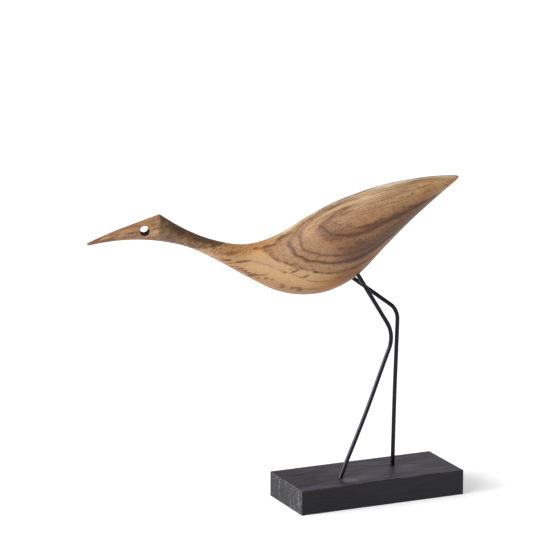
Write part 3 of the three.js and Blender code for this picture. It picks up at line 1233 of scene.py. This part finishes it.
@dataclass(frozen=True)
class BentWireLeg:
    """One leg: a slightly bowed shin, a round knee and a straight thigh, in one upright plane.

    The shin leans back from its foot to the knee, and the thigh runs forward and up into the
    belly. Lean is measured from the vertical. Shin bow is how far the shin's middle stands
    towards the tail's end.
    """

    side: LegSide
    across: float
    foot_x: float
    knee_x: float
    knee_z: float
    knee_radius: float
    thigh_lean: float
    knee_to_belly: float
    shin_bow: float
    foot_z: float = 20.0
    diameter: float = 3.3
    depth_in_block: float = 12.0
    depth_in_belly: float = 20.0
    round_sides: int = 40
    knee_steps: int = 48
    rings: int = 220
    hole_ease: float = 0.06
    drill_start: float = 20.0

    def foot(self) -> Vector:
        """Returns the point where the wire leaves the block."""
        return Vector((self.foot_x, self.across, self.foot_z)) * MM

    def knee(self) -> Vector:
        """Returns the point where the shin's and the thigh's middle lines cross."""
        return Vector((self.knee_x, self.across, self.knee_z)) * MM

    def shin_way(self) -> Vector:
        """Returns the unit direction from the foot to the knee."""
        return (self.knee() - self.foot()).normalized()

    def thigh_way(self) -> Vector:
        """Returns the unit direction from the knee to the belly."""
        lean = math.radians(self.thigh_lean)
        return Vector((-math.sin(lean), 0.0, math.cos(lean)))

    def foot_drill(self) -> DrillBit:
        """Returns the drill for the wire's hole in the block."""
        start = self.foot() + self.shin_way() * self.drill_start * MM
        end = self.foot() - self.shin_way() * self.depth_in_block * MM
        return DrillBit(start, end, (self.diameter / 2 + self.hole_ease) * MM)

    def belly_drill(self) -> DrillBit:
        """Returns the drill for the wire's hole in the belly."""
        mouth = self.knee() + self.thigh_way() * self.knee_to_belly * MM
        start = mouth - self.thigh_way() * self.drill_start * MM
        end = mouth + self.thigh_way() * self.depth_in_belly * MM
        return DrillBit(start, end, (self.diameter / 2 + self.hole_ease) * MM)

    def middle_line(self) -> Piece:
        """Returns the wire's middle line, with a corner at the knee."""
        top = self.knee() + self.thigh_way() * (self.knee_to_belly + self.depth_in_belly) * MM
        bottom = self.foot() - self.shin_way() * self.depth_in_block * MM
        mesh = bpy.data.meshes.new(self.side.value)
        mesh.from_pydata([bottom, self.knee(), top], [(0, 1), (1, 2)], [])
        return link(self.side.value + "_wire", mesh)

    def knee_start(self) -> float:
        """Returns the shin's length, in metres, from the block to where the knee begins."""
        bend = self.shin_way().angle(self.thigh_way())
        return (self.knee() - self.foot()).length - self.knee_radius * MM * math.tan(bend / 2)

    def shape(self, form: Form) -> Piece:
        """Rounds the knee, bows the shin and gives the line its thickness.

        Args:
            form: The form on the wire's middle line.

        Returns:
            The wire.
        """
        line = form.add("GeometryNodeMeshToCurve", {0: form.given["Geometry"]})
        bend = {
            "Curve": line.outputs[0],
            "Count": form.given["Knee Steps"],
            "Radius": form.given["Knee Radius"],
        }
        bent = form.add("GeometryNodeFilletCurve", bend, mode="POLY")
        steps = {"Curve": bent.outputs[0], "Count": form.given["Rings"]}
        fine = form.add("GeometryNodeResampleCurve", steps)
        walked = Field(form, form.add("GeometryNodeSplineParameter").outputs["Length"])
        risen = (walked - form.size("Shin Start")) / form.size("Shin Length")
        share = form.math("SINE", risen.clamped() * math.pi)
        bow = {0: form.given["Shin Bow"], "Scale": share.squared()}
        push = form.add("ShaderNodeVectorMath", bow, operation="SCALE")
        bowed = form.add("GeometryNodeSetPosition", {
            "Geometry": fine.outputs[0],
            "Offset": push.outputs[0],
        })
        section = form.add("GeometryNodeCurvePrimitiveCircle", {
            "Resolution": form.given["Round Sides"],
            "Radius": form.given["Wire Radius"],
        })
        wire = form.add("GeometryNodeCurveToMesh", {
            "Curve": bowed.outputs[0],
            "Profile Curve": section.outputs[0],
            "Fill Caps": True,
        })
        return form.close(wire.outputs[0])

    def build(self, finish: SatinBlackWire) -> Piece:
        """Makes the leg and puts it in place of its node.

        Args:
            finish: The wire's finish.

        Returns:
            The finished piece.
        """
        up = self.shin_way()
        sizes = {
            "Knee Radius": self.knee_radius * MM,
            "Knee Steps": self.knee_steps,
            "Rings": self.rings,
            "Shin Start": self.depth_in_block * MM,
            "Shin Length": self.knee_start(),
            "Shin Bow": Vector((up.z, 0.0, -up.x)) * self.shin_bow * MM,
            "Wire Radius": self.diameter / 2 * MM,
            "Round Sides": self.round_sides,
        }
        piece = self.shape(Form(self.middle_line(), sizes, finish.material()))
        piece.data.set_sharp_from_angle(angle=SHARP_ANGLE)
        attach(piece, BODY)
        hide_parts(self.side.value)
        return piece


@dataclass(frozen=True)
class Section:
    """One section through the bird, square to its length, in millimetres.

    Along is measured towards the tail from the point between the leg holes, and the heights
    are above the table.
    """

    along: float
    top: float
    under: float
    half: float


SECTIONS = (
    Section(-208.5, 208.5, 206.5, 1.5),  # beak tip
    Section(-186, 218, 210, 5.5),
    Section(-168, 224.5, 210.5, 8),  # eye
    Section(-152.5, 229.9, 209, 9),  # crest
    Section(-132, 217.3, 204.2, 7),
    Section(-110, 208.5, 193.6, 7.5),  # neck
    Section(-86, 205, 179.7, 11),
    Section(-62, 211.8, 167.8, 16.5),
    Section(-40, 224.8, 164.5, 21.5),  # breast
    Section(-20, 235.3, 168, 24),
    Section(0, 243, 179.5, 24.5),  # leg holes
    Section(20, 249, 200.5, 22.5),
    Section(40, 252.8, 220.7, 18),
    Section(60, 255, 238.5, 11.5),
    Section(78, 255.5, 253.5, 4.5),  # tail tip
)
CREST = 3


def curve_through(places: np.ndarray, values: np.ndarray, along: np.ndarray) -> np.ndarray:
    """Reads a smooth curve that runs through given values.

    Args:
        places: Where the values are given, in rising order.
        values: The values.
        along: Where the curve is read.

    Returns:
        The curve's values. The slope at a place is that of the parabola through it and its
        two neighbours.
    """
    steps = np.diff(places)
    rises = np.diff(values) / steps
    slopes = np.empty(len(places))
    slopes[1:-1] = (rises[:-1] * steps[1:] + rises[1:] * steps[:-1]) / (steps[:-1] + steps[1:])
    slopes[0] = 1.5 * rises[0] - 0.5 * slopes[1]
    slopes[-1] = 1.5 * rises[-1] - 0.5 * slopes[-2]
    i = np.clip(np.searchsorted(places, along, side="right") - 1, 0, len(steps) - 1)
    t = (along - places[i]) / steps[i]
    start = (1 + 2 * t) * (1 - t) ** 2 * values[i] + t * (1 - t) ** 2 * steps[i] * slopes[i]
    end = t * t * (3 - 2 * t) * values[i + 1] + t * t * (t - 1) * steps[i] * slopes[i + 1]
    return start + end


def curve_with_crest(places: np.ndarray, values: np.ndarray, along: np.ndarray) -> np.ndarray:
    """Reads a curve as curve_through does, with a sharp corner at the crest.

    Args:
        places: Where the values are given, in rising order.
        values: The values.
        along: Where the curve is read.

    Returns:
        The curve's values.
    """
    ahead = curve_through(places[: CREST + 1], values[: CREST + 1], along)
    behind = curve_through(places[CREST:], values[CREST:], along)
    return np.where(along <= places[CREST], ahead, behind)


def tip_share(distance: np.ndarray, rounding: float) -> np.ndarray:
    """Returns the share of a section that is left at a distance from a rounded tip."""
    return np.sqrt(1 - np.clip(1 - distance / rounding, 0, 1) ** 2)


@dataclass(frozen=True)
class CarvedBird:
    """The bird: a loft of oval sections from the beak's tip to the tail's tip."""

    turn: float = 18.0
    pivot: tuple[float, float] = (-10.0, -1.5)
    beak_rounding: float = 2.0
    tail_rounding: float = 3.5
    sides: int = 144
    pitch: float = 0.9
    fine_pitch: float = 0.35
    fine_zone: tuple[float, float] = (-171.0, -146.0)
    cap_rings: int = 12
    eye_along: float = -164.5
    eye_height: float = 218.5
    eye_diameter: float = 7.5
    eye_rim: float = 0.5
    eye_drill: float = 20.0
    eye_sides: int = 96

    def placement(self) -> Matrix:
        """Returns the bird's place on its legs: turned about the upright at the pivot."""
        turn = Matrix.Rotation(math.radians(-self.turn), 4, "Z")
        return Matrix.Translation(Vector((*self.pivot, 0.0)) * MM) @ turn

    def ring_places(self) -> np.ndarray:
        """Returns where the rings stand along the bird, closer at the tips, eye and crest."""
        beak = SECTIONS[0].along
        tail = SECTIONS[-1].along
        crest = SECTIONS[CREST].along
        quarter = 1 - np.cos(np.linspace(0, math.pi / 2, self.cap_rings + 1))
        marks = (
            (beak + self.beak_rounding, self.fine_zone[0], self.pitch),
            (self.fine_zone[0], crest, self.fine_pitch),
            (crest, self.fine_zone[1], self.fine_pitch),
            (self.fine_zone[1], tail - self.tail_rounding, self.pitch),
        )
        runs = [beak + self.beak_rounding * quarter[:-1]]
        for start, end, pitch in marks:
            runs.append(np.linspace(start, end, round((end - start) / pitch), endpoint=False))
        runs.append(tail - self.tail_rounding * quarter[::-1])
        return np.concatenate(runs)

    def spine(self) -> Piece:
        """Returns one point for each ring, with its middle height and half sizes as attributes."""
        along = self.ring_places()
        table = np.array([(s.along, s.top, s.under, s.half) for s in SECTIONS]).T
        top = curve_with_crest(table[0], table[1], along)
        under = curve_through(table[0], table[2], along)
        half = curve_with_crest(table[0], table[3], along)
        share = tip_share(along - along[0], self.beak_rounding)
        share = share * tip_share(along[-1] - along, self.tail_rounding)
        mesh = bpy.data.meshes.new("spine")
        mesh.from_pydata([(x * MM, 0.0, 0.0) for x in along], [], [])
        measures = {
            "middle": (top + under) / 2,
            "half_height": (top - under) / 2 * share,
            "half_width": half * share,
        }
        for name, values in measures.items():
            attribute = mesh.attributes.new(name, "FLOAT", "POINT")
            attribute.data.foreach_set("value", values * MM)
        return link("bird", mesh)

    def shape(self, form: Form) -> Piece:
        """Wraps a net round the spine's sections and eases the eye's rim.

        Args:
            form: The form on the spine.

        Returns:
            The closed, undrilled bird.
        """
        spine = form.given["Geometry"]
        around = form.size("Sides") + 1.0
        rings = form.add("GeometryNodeAttributeDomainSize", {0: spine}, component="MESH")
        net = form.add("GeometryNodeMeshGrid", {
            "Size X": 1.0,
            "Size Y": 1.0,
            "Vertices X": rings.outputs["Point Count"],
            "Vertices Y": around,
        })
        index = Field(form, form.add("GeometryNodeInputIndex").outputs[0])
        ring = form.math("FLOOR", (index + 0.5) / around)
        angle = (index - ring * around) / form.size("Sides") * (2 * math.pi)

        def at_ring(value: Socket) -> Field:
            """Returns a measure of the spine, read at this vertex's ring."""
            reading = {"Geometry": spine, "Value": value, "Index": ring}
            return Field(form, form.add("GeometryNodeSampleIndex", reading).outputs[0])

        def measure(name: str) -> Field:
            """Returns a named measure of the spine at this vertex's ring."""
            named = form.add("GeometryNodeInputNamedAttribute", {"Name": name}, data_type="FLOAT")
            return at_ring(named.outputs[0])

        along = at_ring(form.split(form.add("GeometryNodeInputPosition").outputs[0])[0].socket)
        height = measure("middle") + measure("half_height") * form.math("SINE", angle)
        lateral = measure("half_width") * form.math("COSINE", angle) * -1.0
        ahead = (along - form.size("Eye Along")).squared()
        from_eye = form.math("SQRT", ahead + (height - form.size("Eye Height")).squared())
        outside = (from_eye - form.size("Eye Radius")) / form.size("Eye Rim")
        left = 1.0 - outside.clamped()
        inset = (1.0 - form.math("SQRT", 1.0 - left.squared())) * form.size("Eye Rim")
        lateral = lateral - inset * form.math("SIGN", lateral)
        skin = form.add("GeometryNodeSetPosition", {
            "Geometry": net.outputs["Mesh"],
            "Position": form.join(along, lateral, height),
        })
        closed = form.add("GeometryNodeMergeByDistance", {
            "Geometry": skin.outputs[0],
            "Distance": MERGE_DISTANCE,
        })
        return form.close(closed.outputs[0])

    def eye_bit(self) -> DrillBit:
        """Returns the drill that goes right through the head."""
        place = self.placement()
        eye = Vector((self.eye_along, 0.0, self.eye_height)) * MM
        reach = Vector((0.0, self.eye_drill * MM, 0.0))
        radius = self.eye_diameter / 2 * MM
        return DrillBit(place @ (eye - reach), place @ (eye + reach), radius, self.eye_sides)

    def darken_bore(self, piece: Piece, finish: DarkBore) -> None:
        """Gives the eye's wall its own finish.

        Args:
            piece: The drilled bird.
            finish: The wall's finish.
        """
        mesh = piece.data
        mesh.materials.append(finish.material())
        to_bird = self.placement().inverted()
        reach = (self.eye_diameter / 2 + 0.01) * MM
        for face in mesh.polygons:
            middle = to_bird @ face.center / MM
            if math.hypot(middle.x - self.eye_along, middle.z - self.eye_height) * MM < reach:
                face.material_index = 1

    def build(self, legs: tuple[BentWireLeg, ...], finish: FigureWood, eye_finish: DarkBore) -> Piece:
        """Makes the bird and puts it in place of its node.

        Args:
            legs: The legs whose wires enter the belly.
            finish: The wood.
            eye_finish: The eye's wall.

        Returns:
            The finished piece.
        """
        material = finish.material()
        sizes = {
            "Sides": self.sides,
            "Eye Along": self.eye_along * MM,
            "Eye Height": self.eye_height * MM,
            "Eye Radius": self.eye_diameter / 2 * MM,
            "Eye Rim": self.eye_rim * MM,
        }
        piece = self.shape(Form(self.spine(), sizes, material))
        piece.data.transform(self.placement())
        face_outwards(piece)
        piece = drilled(piece, [self.eye_bit(), *(leg.belly_drill() for leg in legs)], material)
        self.darken_bore(piece, eye_finish)
        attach(piece, BODY)
        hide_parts("bird_body")
        return piece


def face_outwards(piece: Piece) -> None:
    """Turns all faces of a closed piece outwards."""
    bm = bmesh.new()
    bm.from_mesh(piece.data)
    bmesh.ops.recalc_face_normals(bm, faces=bm.faces)
    bm.to_mesh(piece.data)
    bm.free()


@dataclass(frozen=True)
class BaseBlock:
    """The block: a long box with eased edges, whose open grain runs along it.

    Low and high are its lowest and highest corners, in millimetres.
    """

    low: Vector
    high: Vector
    ease: float = 0.6
    ease_steps: int = 3
    pitch: Sizes = (1.0, 0.4, 0.4)
    grain_depth: float = 0.07
    grain_length: float = 14.0
    grain_width: float = 0.9

    def grid_lines(self, low: float, high: float, pitch: float) -> np.ndarray:
        """Returns where the net's lines lie along one side.

        Args:
            low: The side's start.
            high: The side's end.
            pitch: The wanted distance between lines.

        Returns:
            The places, closer on the eased edges.
        """
        bend = np.tan(np.linspace(math.pi / 4, 0, self.ease_steps + 1))
        start = low + self.ease * (1 - bend)
        end = (high - self.ease * (1 - bend))[::-1]
        count = round((end[0] - start[-1]) / pitch)
        return np.concatenate([start[:-1], np.linspace(start[-1], end[0], count + 1), end[1:]])

    def eased_box(self) -> bpy.types.Mesh:
        """Makes a box with a fine net on every face and round edges.

        Returns:
            The closed mesh, in metres.
        """
        lines = [self.grid_lines(*sides) for sides in zip(self.low, self.high, self.pitch)]
        inner_low = np.array(self.low) + self.ease
        inner_high = np.array(self.high) - self.ease
        bm = bmesh.new()
        for axis in range(3):
            u, v = (axis + 1) % 3, (axis + 2) % 3
            for place in (self.low[axis], self.high[axis]):
                grid = np.empty((len(lines[u]), len(lines[v]), 3))
                grid[..., axis] = place
                grid[..., u] = lines[u][:, None]
                grid[..., v] = lines[v][None, :]
                inner = np.clip(grid, inner_low, inner_high)
                out = grid - inner
                points = inner + out * (self.ease / np.linalg.norm(out, axis=-1, keepdims=True))
                corners = [[bm.verts.new(point * MM) for point in row] for row in points]
                for near, far in zip(corners, corners[1:]):
                    for quad in zip(near, near[1:], far[1:], far):
                        bm.faces.new(quad)
        bmesh.ops.remove_doubles(bm, verts=bm.verts, dist=MERGE_DISTANCE)
        bmesh.ops.recalc_face_normals(bm, faces=bm.faces)
        mesh = bpy.data.meshes.new("base")
        bm.to_mesh(mesh)
        bm.free()
        return mesh

    def shape(self, form: Form) -> Piece:
        """Sinks the open grain into the wood and keeps it as an attribute.

        Args:
            form: The form on the box.

        Returns:
            The grained block, still without its holes.
        """
        x, y, z = form.split(form.add("GeometryNodeInputPosition").outputs[0])
        width = form.size("Streak Width")
        place = form.join(x / form.size("Streak Length"), y / width, z / width)
        height = form.noise(place, detail=2.0).step(0.36, 0.52)
        kept = form.add(
            "GeometryNodeStoreNamedAttribute",
            {"Geometry": form.given["Geometry"], "Name": GRAIN, "Value": height},
            data_type="FLOAT",
            domain="POINT",
        )
        sunk = {
            0: form.add("GeometryNodeInputNormal").outputs[0],
            "Scale": (height - 1.0) * form.size("Depth"),
        }
        push = form.add("ShaderNodeVectorMath", sunk, operation="SCALE")
        carved = form.add("GeometryNodeSetPosition", {
            "Geometry": kept.outputs[0],
            "Offset": push.outputs[0],
        })
        return form.close(carved.outputs[0])

    def build(self, legs: tuple[BentWireLeg, ...], finish: BlackStainedWood) -> Piece:
        """Makes the block and puts it in place of its node.

        Args:
            legs: The legs whose wires stand in the block.
            finish: The stained wood.

        Returns:
            The finished piece.
        """
        box = link("base", self.eased_box())
        material = finish.material()
        sizes = {
            "Depth": self.grain_depth * MM,
            "Streak Length": self.grain_length * MM,
            "Streak Width": self.grain_width * MM,
        }
        piece = self.shape(Form(box, sizes, material))
        piece = drilled(piece, [leg.foot_drill() for leg in legs], material)
        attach(piece, BODY)
        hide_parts("base_block")
        return piece


@dataclass(frozen=True)
class SoftLamp:
    """A broad, distant, soft lamp on the camera's left.

    Behind is its turn from the camera's left towards the room's far side, height is its angle
    above the table and breadth is how wide it looks, all in degrees.
    """

    name: str
    behind: float
    height: float
    strength: float
    breadth: float = 45.0
    colour: Colour = (1.0, 1.0, 1.0)


LAMPS = (
    SoftLamp("left", 0, 21, 1.35, 30),
    SoftLamp("left_high", 0, 50, 0.35),
    SoftLamp("near_left", -45, 26, 1.5, 34),
    SoftLamp("near_left_low", -24, 18, 2.1, 26),
    SoftLamp("far", 90, 14, 0.24, 40, (1.0, 0.94, 1.06)),
)


@dataclass(frozen=True)
class Studio:
    """A white table, soft light from the left, and the camera of the photograph."""

    camera_place: Sizes = (-1.05584, -2.15883, 0.72916)
    camera_azimuth: float = 24.25
    camera_elevation: float = 12.85
    lens: float = 212.53
    sensor: float = 36.0
    floor_half: float = 12.0
    room_strength: float = 0.25

    def camera(self) -> None:
        """Sets up the camera."""
        data = bpy.data.cameras.new("camera")
        data.lens = self.lens
        data.sensor_width = self.sensor
        azimuth = math.radians(self.camera_azimuth)
        elevation = math.radians(self.camera_elevation)
        camera = link("camera", data)
        camera.location = self.camera_place
        camera.rotation_euler = (math.pi / 2 - elevation, 0.0, -azimuth)
        bpy.context.scene.camera = camera

    def floor(self, finish: StudioWhite) -> None:
        """Lays the table."""
        half = self.floor_half
        mesh = bpy.data.meshes.new("floor")
        corners = [(-half, -half, 0.0), (half, -half, 0.0), (half, half, 0.0), (-half, half, 0.0)]
        mesh.from_pydata(corners, [], [(0, 1, 2, 3)])
        mesh.materials.append(finish.material())
        link("floor", mesh)

    def world(self) -> None:
        """Fills the room with an even white light."""
        world = bpy.data.worlds.new("room")
        bpy.context.scene.world = world
        world.use_nodes = True
        graph = NodeGraph(world.node_tree)
        light = graph.add("ShaderNodeBackground", {
            "Color": (1.0, 1.0, 1.0, 1.0),
            "Strength": self.room_strength,
        })
        graph.add("ShaderNodeOutputWorld", {"Surface": light.outputs[0]})

    def hang(self, lamp: SoftLamp) -> None:
        """Hangs one lamp.

        Args:
            lamp: The lamp.
        """
        turn = math.radians(self.camera_azimuth)
        behind = math.radians(lamp.behind)
        height = math.radians(lamp.height)
        right = Vector((math.cos(turn), -math.sin(turn), 0.0))
        ahead = Vector((math.sin(turn), math.cos(turn), 0.0))
        level = ahead * math.sin(behind) - right * math.cos(behind)
        towards = level * math.cos(height) + Vector((0.0, 0.0, math.sin(height)))
        data = bpy.data.lights.new(lamp.name, "SUN")
        data.energy = lamp.strength
        data.color = lamp.colour
        data.angle = math.radians(lamp.breadth)
        light = link(lamp.name, data)
        light.rotation_euler = (-towards).to_track_quat("-Z", "Y").to_euler()

    def build(self, lamps: tuple[SoftLamp, ...], finish: StudioWhite) -> None:
        """Sets up the whole studio.

        Args:
            lamps: The lamps.
            finish: The table's finish.
        """
        self.camera()
        self.floor(finish)
        self.world()
        for lamp in lamps:
            self.hang(lamp)
        bpy.context.scene.view_settings.view_transform = "Standard"


LEGS = (
    BentWireLeg(
        LegSide.LEFT,
        across=-9.5,
        foot_x=-27.7,
        knee_x=18.2,
        knee_z=130.0,
        knee_radius=23.0,
        thigh_lean=32.0,
        knee_to_belly=59.0,
        shin_bow=0.85,
    ),
    BentWireLeg(
        LegSide.RIGHT,
        across=6.5,
        foot_x=25.5,
        knee_x=29.0,
        knee_z=145.5,
        knee_radius=15.5,
        thigh_lean=53.3,
        knee_to_belly=52.0,
        shin_bow=-0.3,
    ),
)


def main() -> None:
    """Builds the heron, its legs, its block and the studio."""
    logging.basicConfig(level=logging.INFO, format="%(message)s")
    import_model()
    low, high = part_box("base_block")
    bird = CarvedBird()
    wire = SatinBlackWire()
    pieces = [bird.build(LEGS, FigureWood(bird.turn, bird.pivot), DarkBore())]
    pieces += [leg.build(wire) for leg in LEGS]
    stain = BlackStainedWood(tuple((high - low) / (2 * MM)))
    pieces.append(BaseBlock(low / MM, high / MM).build(LEGS, stain))
    for piece in pieces:
        log.info("%s: %d faces", piece.name, len(piece.data.polygons))
    Studio().build(LAMPS, StudioWhite())


if __name__ == "__main__":
    main()
